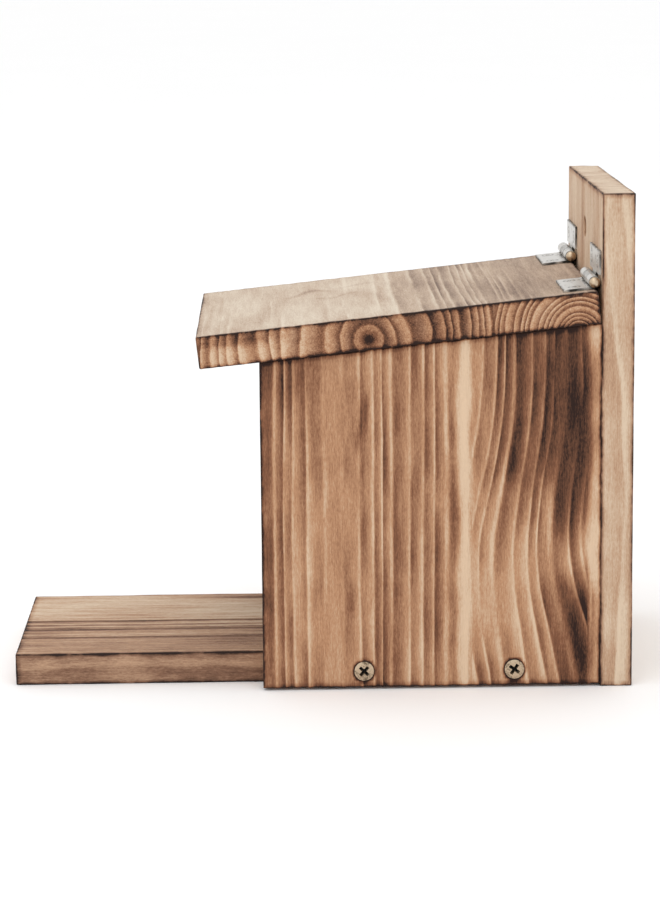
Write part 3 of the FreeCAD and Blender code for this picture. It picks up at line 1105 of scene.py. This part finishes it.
def ramp(tree, source, stops, kind="LINEAR"):
    """Colour ramp through (place, colour or grey) stops; gives its colour socket."""
    node = tree.nodes.new("ShaderNodeValToRGB")
    node.color_ramp.interpolation = kind
    points = node.color_ramp.elements
    while len(points) < len(stops):
        points.new(0.5)
    for point, (place, colour) in zip(points, stops):
        if isinstance(colour, (int, float)):
            colour = (colour, colour, colour)
        point.position = place
        point.color = (*colour, 1.0)
    tree.links.new(source, node.inputs[0])
    return node.outputs[0]


def noise(tree, vector, scale, detail=3.0, rough=0.55, distort=0.0):
    """Noise texture on a vector; gives its value socket."""
    node = tree.nodes.new("ShaderNodeTexNoise")
    node.inputs["Scale"].default_value = scale
    node.inputs["Detail"].default_value = detail
    node.inputs["Roughness"].default_value = rough
    node.inputs["Distortion"].default_value = distort
    tree.links.new(vector, node.inputs["Vector"])
    return node.outputs["Fac"]


def stretch(tree, vector, scale):
    """Vector times one scale, or one for each axis."""
    if isinstance(scale, float):
        scale = (scale, scale, scale)
    node = tree.nodes.new("ShaderNodeVectorMath")
    node.operation = "MULTIPLY"
    tree.links.new(vector, node.inputs[0])
    node.inputs[1].default_value = scale
    return node.outputs[0]


def attribute_value(tree, name):
    """Value of one of the board's own attributes."""
    node = tree.nodes.new("ShaderNodeAttribute")
    node.attribute_name = name
    return node.outputs["Fac"]


def torched_grain_group(wood):
    """Colour, roughness and height of scorched, brushed and oiled softwood."""
    tree, given, made = group_tree(
        "Torched grain",
        [("Fibre place", "vector"), ("Patch place", "vector"), ("Rings", "float"),
         ("Scorch", "float"), ("Arris", "float"), ("End", "float"), ("Bite", "float"),
         ("Along", "float"), ("Tone", "float"), ("Ring depth", "float"), ("Greyness", "float"),
         ("End greyness", "float")],
        [("Colour", "colour"), ("Roughness", "float"), ("Height", "float")])
    fibres, patches = given.outputs["Fibre place"], given.outputs["Patch place"]
    fibre = noise(tree, fibres, 1.0, detail=4.0, rough=0.7)
    streak = noise(tree, stretch(tree, fibres, 0.3), 1.0, detail=2.0, rough=0.5)
    patch = noise(tree, patches, 1.0, detail=4.0, rough=0.6)
    speck = noise(tree, stretch(tree, patches, 26.0), 1.0, detail=3.0, rough=0.7)
    ring_side = maths(tree, "FRACT", given.outputs["Rings"])
    whole = maths(tree, "FLOOR", given.outputs["Rings"])
    profile = ramp(tree, ring_side, [
        (0.0, 0.0), (0.07, 0.14), (0.14, 0.8), (0.24, 1.0), (0.42, 0.86),
        (0.66, 0.6), (0.86, 0.38), (0.95, 0.08), (1.0, 0.0)])
    own = tree.nodes.new("ShaderNodeCombineXYZ")
    tree.links.new(maths(tree, "MULTIPLY", whole, 5.37), own.inputs[0])
    tree.links.new(maths(tree, "MULTIPLY", given.outputs["Along"], 24.0), own.inputs[1])
    stripe = noise(tree, own.outputs[0], 1.0, detail=3.0, rough=0.6)
    strong = maths(tree, "MULTIPLY_ADD", stripe, 1.5, 0.25)
    depth = maths(tree, "MULTIPLY", given.outputs["Ring depth"], strong)
    depth = maths(tree, "MULTIPLY", depth, given.outputs["Bite"])
    narrow = maths(tree, "MULTIPLY_ADD", given.outputs["End"], 0.9, 1.0)
    profile = maths(tree, "POWER", profile, narrow)
    centred = maths(tree, "SUBTRACT", profile, 0.5)
    burn = maths(tree, "MULTIPLY_ADD", centred, depth, given.outputs["Tone"])
    # The scorch values also carry the painted shade round the screw heads.
    burn = maths(tree, "ADD", burn, given.outputs["Scorch"])
    swing = maths(tree, "MULTIPLY", maths(tree, "SUBTRACT", stripe, 0.5), given.outputs["Bite"])
    burn = maths(tree, "MULTIPLY_ADD", swing, 0.3, burn)
    for name, uneven in {"fibre": fibre, "streak": streak, "patch": patch, "speck": speck}.items():
        uneven = maths(tree, "SUBTRACT", uneven, 0.5)
        burn = maths(tree, "MULTIPLY_ADD", uneven, BURN_SHARES[name], burn)
    burn = maths(tree, "MULTIPLY_ADD", given.outputs["Arris"], BURN_SHARES["arris"], burn)
    pores = noise(tree, stretch(tree, patches, 38.0), 1.0, detail=3.0, rough=0.7)
    pits = maths(tree, "MULTIPLY", maths(tree, "SUBTRACT", pores, 0.5), 0.7)
    pits = maths(tree, "MULTIPLY", pits, given.outputs["End"])
    burn = maths(tree, "ADD", burn, pits, clamp=True)
    colour = ramp(tree, burn, [
        (0.0, tuple(min(1.0, 1.07 * part) for part in wood.bare)),
        (0.16, tuple(wood.bare)), (0.42, tuple(wood.toasted)),
        (0.7, tuple(wood.browned)), (1.0, tuple(wood.scorched))])
    grey = tree.nodes.new("ShaderNodeHueSaturation")
    grey.inputs["Value"].default_value = 1.0
    more = maths(tree, "SUBTRACT", given.outputs["End greyness"], given.outputs["Greyness"])
    faded = maths(tree, "MULTIPLY_ADD", given.outputs["End"], more, given.outputs["Greyness"])
    tree.links.new(maths(tree, "SUBTRACT", 1.0, faded), grey.inputs["Saturation"])
    tree.links.new(maths(tree, "MULTIPLY_ADD", faded, GREY_HUE, 0.5), grey.inputs["Hue"])
    tree.links.new(colour, grey.inputs["Color"])
    tree.links.new(grey.outputs[0], made.inputs["Colour"])
    rough = maths(tree, "MULTIPLY_ADD", fibre, 0.2, 0.52)
    rough = maths(tree, "MULTIPLY_ADD", burn, 0.12, rough)
    tree.links.new(rough, made.inputs["Roughness"])
    height = maths(tree, "MULTIPLY_ADD", fibre, 0.7, maths(tree, "MULTIPLY", pits, 0.6))
    height = maths(tree, "MULTIPLY_ADD", profile, -0.35, height)
    tree.links.new(height, made.inputs["Height"])
    return tree


def stained_plate_group():
    """Colour, roughness and height of plated metal with stains and fine scratches, black where painted shade is
    given.
    """
    tree, given, made = group_tree(
        "Stained plate",
        [("Place", "vector"), ("Plate", "colour"), ("Stain", "colour"), ("Stain share", "float"),
         ("Soot", "float")],
        [("Colour", "colour"), ("Roughness", "float"), ("Height", "float"), ("Metallic", "float")])
    cloud = noise(tree, given.outputs["Place"], 260.0, detail=4.0, rough=0.6, distort=0.4)
    spots = noise(tree, given.outputs["Place"], 1500.0, detail=3.0, rough=0.6)
    both = maths(tree, "MULTIPLY_ADD", cloud, 0.65, maths(tree, "MULTIPLY", spots, 0.35))
    lifted = maths(tree, "ADD", both, maths(tree, "SUBTRACT", given.outputs["Stain share"], 0.5))
    mask = ramp(tree, lifted, [(0.46, 0.0), (0.62, 1.0)], "EASE")
    colour = blend_colours(tree, mask, given.outputs["Plate"], given.outputs["Stain"])
    # Painted shade turns the plate black and takes away its metalness.
    shade_black = (0.006, 0.005, 0.004)
    shaded = blend_colours(tree, given.outputs["Soot"], colour, shade_black)
    tree.links.new(shaded, made.inputs["Colour"])
    unshaded = maths(tree, "SUBTRACT", 1.0, given.outputs["Soot"])
    tree.links.new(unshaded, made.inputs["Metallic"])
    rough = maths(tree, "MULTIPLY_ADD", mask, 0.22, maths(tree, "MULTIPLY_ADD", spots, 0.2, 0.24))
    tree.links.new(rough, made.inputs["Roughness"])
    tree.links.new(maths(tree, "MULTIPLY_ADD", mask, -0.4, spots), made.inputs["Height"])
    return tree


# Look of each board: its plain tone, how strongly its rings show, and how grey its
# faces and its end grain are.
WOOD_LOOKS = {
    "right_side_wall": {"tone": 0.43, "depth": 0.46, "grey": 0.05, "end_grey": 0.0},
    "left_side_wall": {"tone": 0.43, "depth": 0.44, "grey": 0.05, "end_grey": 0.0},
    "back_board": {"tone": 0.26, "depth": 0.26, "grey": 0.18, "end_grey": 0.3},
    "base_board": {"tone": 0.37, "depth": 0.3, "grey": 0.18, "end_grey": 0.06},
    "lid": {"tone": 0.3, "depth": 0.44, "grey": 0.4, "end_grey": 0.04},
}


def wood_material(name, group):
    """Torched softwood whose fibres run along one axis of the model."""
    look = WOOD_LOOKS[name]
    grain = LAY[name]["axes"][1]
    material, shader = new_material(name + "_torched")
    tree = material.node_tree
    place = tree.nodes.new("ShaderNodeTexCoord").outputs["Object"]
    fine = [2200.0, 2200.0, 2200.0]
    fine[grain] = 150.0
    broad = [70.0, 70.0, 70.0]
    broad[grain] = 20.0
    node = tree.nodes.new("ShaderNodeGroup")
    node.node_tree = group
    tree.links.new(stretch(tree, place, fine), node.inputs["Fibre place"])
    tree.links.new(stretch(tree, place, broad), node.inputs["Patch place"])
    for socket in ("Rings", "Scorch", "Arris", "End", "Bite"):
        tree.links.new(attribute_value(tree, socket.lower()), node.inputs[socket])
    axes = tree.nodes.new("ShaderNodeSeparateXYZ")
    tree.links.new(place, axes.inputs[0])
    tree.links.new(axes.outputs[grain], node.inputs["Along"])
    node.inputs["Tone"].default_value = look["tone"]
    node.inputs["Ring depth"].default_value = look["depth"]
    node.inputs["Greyness"].default_value = look["grey"]
    node.inputs["End greyness"].default_value = look["end_grey"]
    finish_surface(tree, shader, node, WOOD_RISE)
    shader.inputs["Specular IOR Level"].default_value = 0.16
    return material


def finish_surface(tree, shader, node, rise):
    """Feed a group's colour, roughness and height to a surface."""
    tree.links.new(node.outputs["Colour"], shader.inputs["Base Color"])
    tree.links.new(node.outputs["Roughness"], shader.inputs["Roughness"])
    bump = tree.nodes.new("ShaderNodeBump")
    bump.inputs["Strength"].default_value = 1.0
    bump.inputs["Distance"].default_value = rise
    tree.links.new(node.outputs["Height"], bump.inputs["Height"])
    tree.links.new(bump.outputs["Normal"], shader.inputs["Normal"])


def plate_material(name, group, plate, stain, share):
    """Plated metal, stained here and there, and darkened where the piece carries painted shade."""
    material, shader = new_material(name)
    tree = material.node_tree
    node = tree.nodes.new("ShaderNodeGroup")
    node.node_tree = group
    tree.links.new(tree.nodes.new("ShaderNodeTexCoord").outputs["Object"], node.inputs["Place"])
    node.inputs["Plate"].default_value = (*plate, 1.0)
    node.inputs["Stain"].default_value = (*stain, 1.0)
    node.inputs["Stain share"].default_value = share
    tree.links.new(attribute_value(tree, "soot"), node.inputs["Soot"])
    finish_surface(tree, shader, node, PLATE_RISE)
    tree.links.new(node.outputs["Metallic"], shader.inputs["Metallic"])
    shader.inputs["Specular IOR Level"].default_value = 0.1
    return material


def pane_material():
    """Clear acrylic sheet with a few faint wipe marks."""
    material, shader = new_material("clear_acrylic")
    tree = material.node_tree
    place = tree.nodes.new("ShaderNodeTexCoord").outputs["Object"]
    smeared = stretch(tree, place, (90.0, 90.0, 22.0))
    wiped = noise(tree, smeared, 1.0, detail=4.0, rough=0.6, distort=0.8)
    marks = ramp(tree, wiped, [(0.45, 0.02), (0.75, 0.14)])
    tree.links.new(marks, shader.inputs["Roughness"])
    tint = ramp(tree, wiped, [(0.3, (0.965, 0.98, 0.98)), (0.8, (0.985, 0.99, 0.99))])
    tree.links.new(tint, shader.inputs["Base Color"])
    shader.inputs["Transmission Weight"].default_value = 1.0
    shader.inputs["IOR"].default_value = 1.38
    return material


def floor_material(colour):
    """Matt pale studio floor with a faint unevenness."""
    material, shader = new_material("pale_floor")
    tree = material.node_tree
    place = tree.nodes.new("ShaderNodeTexCoord").outputs["Object"]
    cloud = noise(tree, place, 3.0, detail=2.0)
    pale = tuple(0.985 * part for part in colour)
    tree.links.new(blend_colours(tree, cloud, tuple(colour), pale), shader.inputs["Base Color"])
    shader.inputs["Roughness"].default_value = 0.9
    shader.inputs["Specular IOR Level"].default_value = 0.1
    return material


def shared_group(name, make, *given):
    """A node group that is built once and then found again."""
    return bpy.data.node_groups.get(name) or make(*given)


def give(piece, material):
    """Put one material on a piece."""
    piece.data.materials.clear()
    piece.data.materials.append(material)


def attach(piece, body, slot, *nodes):
    """Hand a finished piece to its body, in place of CAD nodes."""
    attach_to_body(piece, body)
    if nodes:
        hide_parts(*nodes)


def finish_node(name, material):
    """Give a carried-over CAD node a better material."""
    piece = frame["nodes"][name]
    if not piece.material_slots:
        piece.data.materials.append(material)
    for holder in piece.material_slots:
        holder.material = material


# ---------------------------------------------------------------- the pieces


def make_board(name, body, slot, cutters, screws):
    """One weathered board in place of its CAD node."""
    wood = bpy.context.scene.box_wood
    board = Board(name)
    piece = board.build(wood)
    if cutters:
        cut_away(piece, cutters)
    board.mark(piece, wood, screws)
    smooth_faces(piece, 38)
    group = shared_group("Torched grain", torched_grain_group, wood)
    give(piece, wood_material(name, group))
    attach(piece, body, slot, name)
    return piece


class BOX_OT_side_walls(bpy.types.Operator):
    """Make both torched side walls, with the grooves for the pane"""

    bl_idname = "feeding_box.side_walls"
    bl_label = "Side Walls"

    def execute(self, context):
        pane_low, pane_high = box_mm("front_pane")
        thick_ease = 0.2
        deep_ease = 0.3
        open_top = 40.0
        low = pane_low - (deep_ease, thick_ease, 0)
        high = pane_high + (deep_ease, thick_ease, open_top)
        for side in SIDES:
            name = f"{side}_side_wall"
            cutters = [screw_sink(node) for node in BASE_SCREWS[side] + BACK_SCREWS[side]]
            cutters.append(plain_block(f"groove_{side}", low, high))
            make_board(name, "housing", "side_walls", cutters, BASE_SCREWS[side])
        return {"FINISHED"}


class BOX_OT_back_board(bpy.types.Operator):
    """Make the tall back board with its hanging hole"""

    bl_idname = "feeding_box.back_board"
    bl_label = "Back Board"

    def execute(self, context):
        mounts = frame["record"]["mounts"]
        hole = next(mount for mount in mounts if mount["name"] == "hanging_hole")
        radius = hole["dims"]["r_mm"]
        low, high = box_mm("back_board")
        middle = np.array(hole["pos_m"]) / MM
        middle[1] = low[1]
        thick = high[1] - low[1]
        eased = 0.5
        profile = [(radius + 2 * eased, -eased), (radius, eased), (radius, thick - eased),
                   (radius + 2 * eased, thick + eased)]
        cutters = [turned_shape("hanging_hole", profile, middle, (0, 1, 0), 64)]
        screws = [node for side in SIDES for node in BACK_SCREWS[side]]
        cutters += [screw_sink(node) for node in screws + LEAF_SCREWS["board"]]
        make_board("back_board", "housing", "back_board", cutters, screws)
        return {"FINISHED"}


class BOX_OT_base_board(bpy.types.Operator):
    """Make the base board that runs forward as a landing"""

    bl_idname = "feeding_box.base_board"
    bl_label = "Base Board"

    def execute(self, context):
        cutters = [screw_sink(node) for side in SIDES for node in BASE_SCREWS[side]]
        make_board("base_board", "housing", "base_board", cutters, ())
        return {"FINISHED"}


class BOX_OT_lid(bpy.types.Operator):
    """Make the sloping lid"""

    bl_idname = "feeding_box.lid"
    bl_label = "Lid"

    def execute(self, context):
        cutters = [screw_sink(node) for node in LEAF_SCREWS["lid"]]
        make_board("lid", "lid", "lid", cutters, ())
        return {"FINISHED"}


class BOX_OT_pane(bpy.types.Operator):
    """Make the clear pane with polished edges"""

    bl_idname = "feeding_box.pane"
    bl_label = "Clear Pane"

    def execute(self, context):
        low, high = box_mm("front_pane")
        edge = 0.25
        lines = [lattice_line(low[axis], high[axis], 12.0, edge) for axis in range(3)]
        flat, faces = lattice_shell(lines)
        piece = mesh_object("front_pane_clear", rounded(flat, low, high, edge), faces)
        smooth_faces(piece, 30)
        give(piece, pane_material())
        attach(piece, "pane", "pane", "front_pane")
        return {"FINISHED"}


class BOX_OT_frame_screws(bpy.types.Operator):
    """Set the countersunk screws of the wooden frame"""

    bl_idname = "feeding_box.frame_screws"
    bl_label = "Frame Screws"

    def execute(self, context):
        metal = context.scene.box_metal
        nodes = [node for side in SIDES for node in BASE_SCREWS[side] + BACK_SCREWS[side]]
        _, _, wide, long = screw_place(nodes[0])
        screw = screw_shape("frame_screw", wide, long, metal.thread_pitch)
        group = shared_group("Stained plate", stained_plate_group)
        finish = plate_material("brass_plate", group, metal.brass, metal.tarnish, metal.screw_stain)
        tree = shared_group("Set screws", setter_tree)
        piece = set_screws("frame_screws_set", nodes, screw, finish, tree)
        drop(screw)
        attach(piece, "housing", "frame_screws", *nodes)
        return {"FINISHED"}


class BOX_OT_hinges(bpy.types.Operator):
    """Finish the hinge leaves and pins and set the hinge screws"""

    bl_idname = "feeding_box.hinges"
    bl_label = "Hinges"

    def execute(self, context):
        metal = context.scene.box_metal
        group = shared_group("Stained plate", stained_plate_group)
        zinc = plate_material("zinc_plate", group, metal.zinc, metal.tarnish, metal.leaf_stain)
        brass = plate_material("pin_brass", group, metal.brass, metal.tarnish, metal.pin_stain)
        for side in SIDES:
            finish_node(f"{side}_hinge_pin", brass)
            for part, body in (("board", "housing"), ("lid", "lid")):
                leaf = Leaf(side, part)
                piece = leaf.build()
                give(piece, zinc)
                attach(piece, body, "hinge_leaves", leaf.node)
        tree = shared_group("Set screws", setter_tree)
        for part, body in (("board", "housing"), ("lid", "lid")):
            nodes = LEAF_SCREWS[part]
            _, _, wide, long = screw_place(nodes[0])
            screw = screw_shape("leaf_screw", wide, long, 0.6 * metal.thread_pitch)
            piece = set_screws(f"hinge_{part}_screws_set", nodes, screw, zinc, tree)
            drop(screw)
            attach(piece, body, "hinge_screws", *nodes)
        return {"FINISHED"}


class BOX_OT_stage(bpy.types.Operator):
    """Set the pale floor, the soft lights and the camera"""

    bl_idname = "feeding_box.stage"
    bl_label = "Stage"

    def execute(self, context):
        stage = context.scene.box_stage
        make_floor(stage)
        make_lights(stage)
        make_camera(stage)
        return {"FINISHED"}


def make_floor(stage):
    """Pale floor just under the box."""
    half = stage.floor_half
    mesh = bpy.data.meshes.new("pale_floor")
    corners = [(-half, -half, 0), (half, -half, 0), (half, half, 0), (-half, half, 0)]
    mesh.from_pydata(corners, [], [(0, 1, 2, 3)])
    floor = new_object("pale_floor", mesh)
    give(floor, floor_material(stage.floor_colour))


def area_light(name, place, target, wide, power):
    """Large square soft light that faces a target."""
    data = bpy.data.lights.new(name, "AREA")
    data.shape = "SQUARE"
    data.size = wide
    data.energy = power
    light = new_object(name, data)
    light.location = place
    light.rotation_euler = (Vector(target) - Vector(place)).to_track_quat("-Z", "Y").to_euler()


def make_lights(stage):
    """Even white surroundings, a broad light above and a weaker one from the right."""
    scene = bpy.context.scene
    world = bpy.data.worlds.new("studio")
    world.use_nodes = True
    backdrop = world.node_tree.nodes["Background"]
    backdrop.inputs["Color"].default_value = (1, 1, 1, 1)
    backdrop.inputs["Strength"].default_value = stage.surround
    scene.world = world
    area_light("top_light", place=(0.3, -0.5, 1.9), target=(0, 0, 0.05), wide=1.6,
               power=stage.top_power)
    area_light("side_light", place=(1.6, -0.9, 0.9), target=(0, 0, 0.08), wide=1.2,
               power=stage.side_power)
    scene.view_settings.view_transform = "Standard"
    scene.view_settings.look = "None"


def make_camera(stage):
    """Camera that looks at the right side wall, a little from above."""
    data = bpy.data.cameras.new("camera")
    data.lens = stage.lens
    data.sensor_width = 36.0
    data.shift_x, data.shift_y = stage.view_shift
    data.clip_start = 0.01
    data.clip_end = 50.0
    turn, dip, roll = stage.camera_turn, stage.camera_dip, stage.camera_roll
    level = Vector((-math.cos(turn), math.sin(turn), 0.0))
    forward = level * math.cos(dip) - Vector((0, 0, math.sin(dip)))
    right = forward.cross(Vector((0, 0, 1))).normalized()
    up = right.cross(forward)
    rolled_right = right * math.cos(roll) + up * math.sin(roll)
    rolled_up = up * math.cos(roll) - right * math.sin(roll)
    camera = new_object("camera", data)
    turned = Matrix((rolled_right, rolled_up, -forward)).transposed()
    camera.matrix_world = Matrix.Translation(stage.camera_place) @ turned.to_4x4()
    bpy.context.scene.camera = camera


class BOX_PT_panel(bpy.types.Panel):
    """Every piece of the feeding box, and its sizes and colours"""

    bl_idname = "BOX_PT_panel"
    bl_label = "Feeding Box"
    bl_space_type = "VIEW_3D"
    bl_region_type = "UI"
    bl_category = "Feeding Box"

    def draw(self, context):
        layout = self.layout
        for operator in OPERATORS:
            layout.operator(operator.bl_idname)
        for settings in (context.scene.box_wood, context.scene.box_metal, context.scene.box_stage):
            box = layout.box()
            for name in settings.bl_rna.properties.keys():
                if name not in ("rna_type", "name"):
                    box.prop(settings, name)


OPERATORS = (
    BOX_OT_side_walls,
    BOX_OT_back_board,
    BOX_OT_base_board,
    BOX_OT_lid,
    BOX_OT_pane,
    BOX_OT_frame_screws,
    BOX_OT_hinges,
    BOX_OT_stage,
)
SETTINGS = {"box_wood": WoodSettings, "box_metal": MetalSettings, "box_stage": StageSettings}


def register():
    """Add the settings, operators and panel."""
    for name, settings in SETTINGS.items():
        bpy.utils.register_class(settings)
        setattr(bpy.types.Scene, name, bpy.props.PointerProperty(type=settings))
    for operator in OPERATORS:
        bpy.utils.register_class(operator)
    bpy.utils.register_class(BOX_PT_panel)


def unregister():
    """Take the settings, operators and panel away again."""
    bpy.utils.unregister_class(BOX_PT_panel)
    for operator in reversed(OPERATORS):
        bpy.utils.unregister_class(operator)
    for name, settings in SETTINGS.items():
        delattr(bpy.types.Scene, name)
        bpy.utils.unregister_class(settings)


def main():
    """Make every piece and the stage."""
    register()
    for operator in OPERATORS:
        group, name = operator.bl_idname.split(".")
        getattr(getattr(bpy.ops, group), name)()


if __name__ == "__main__":
    main()
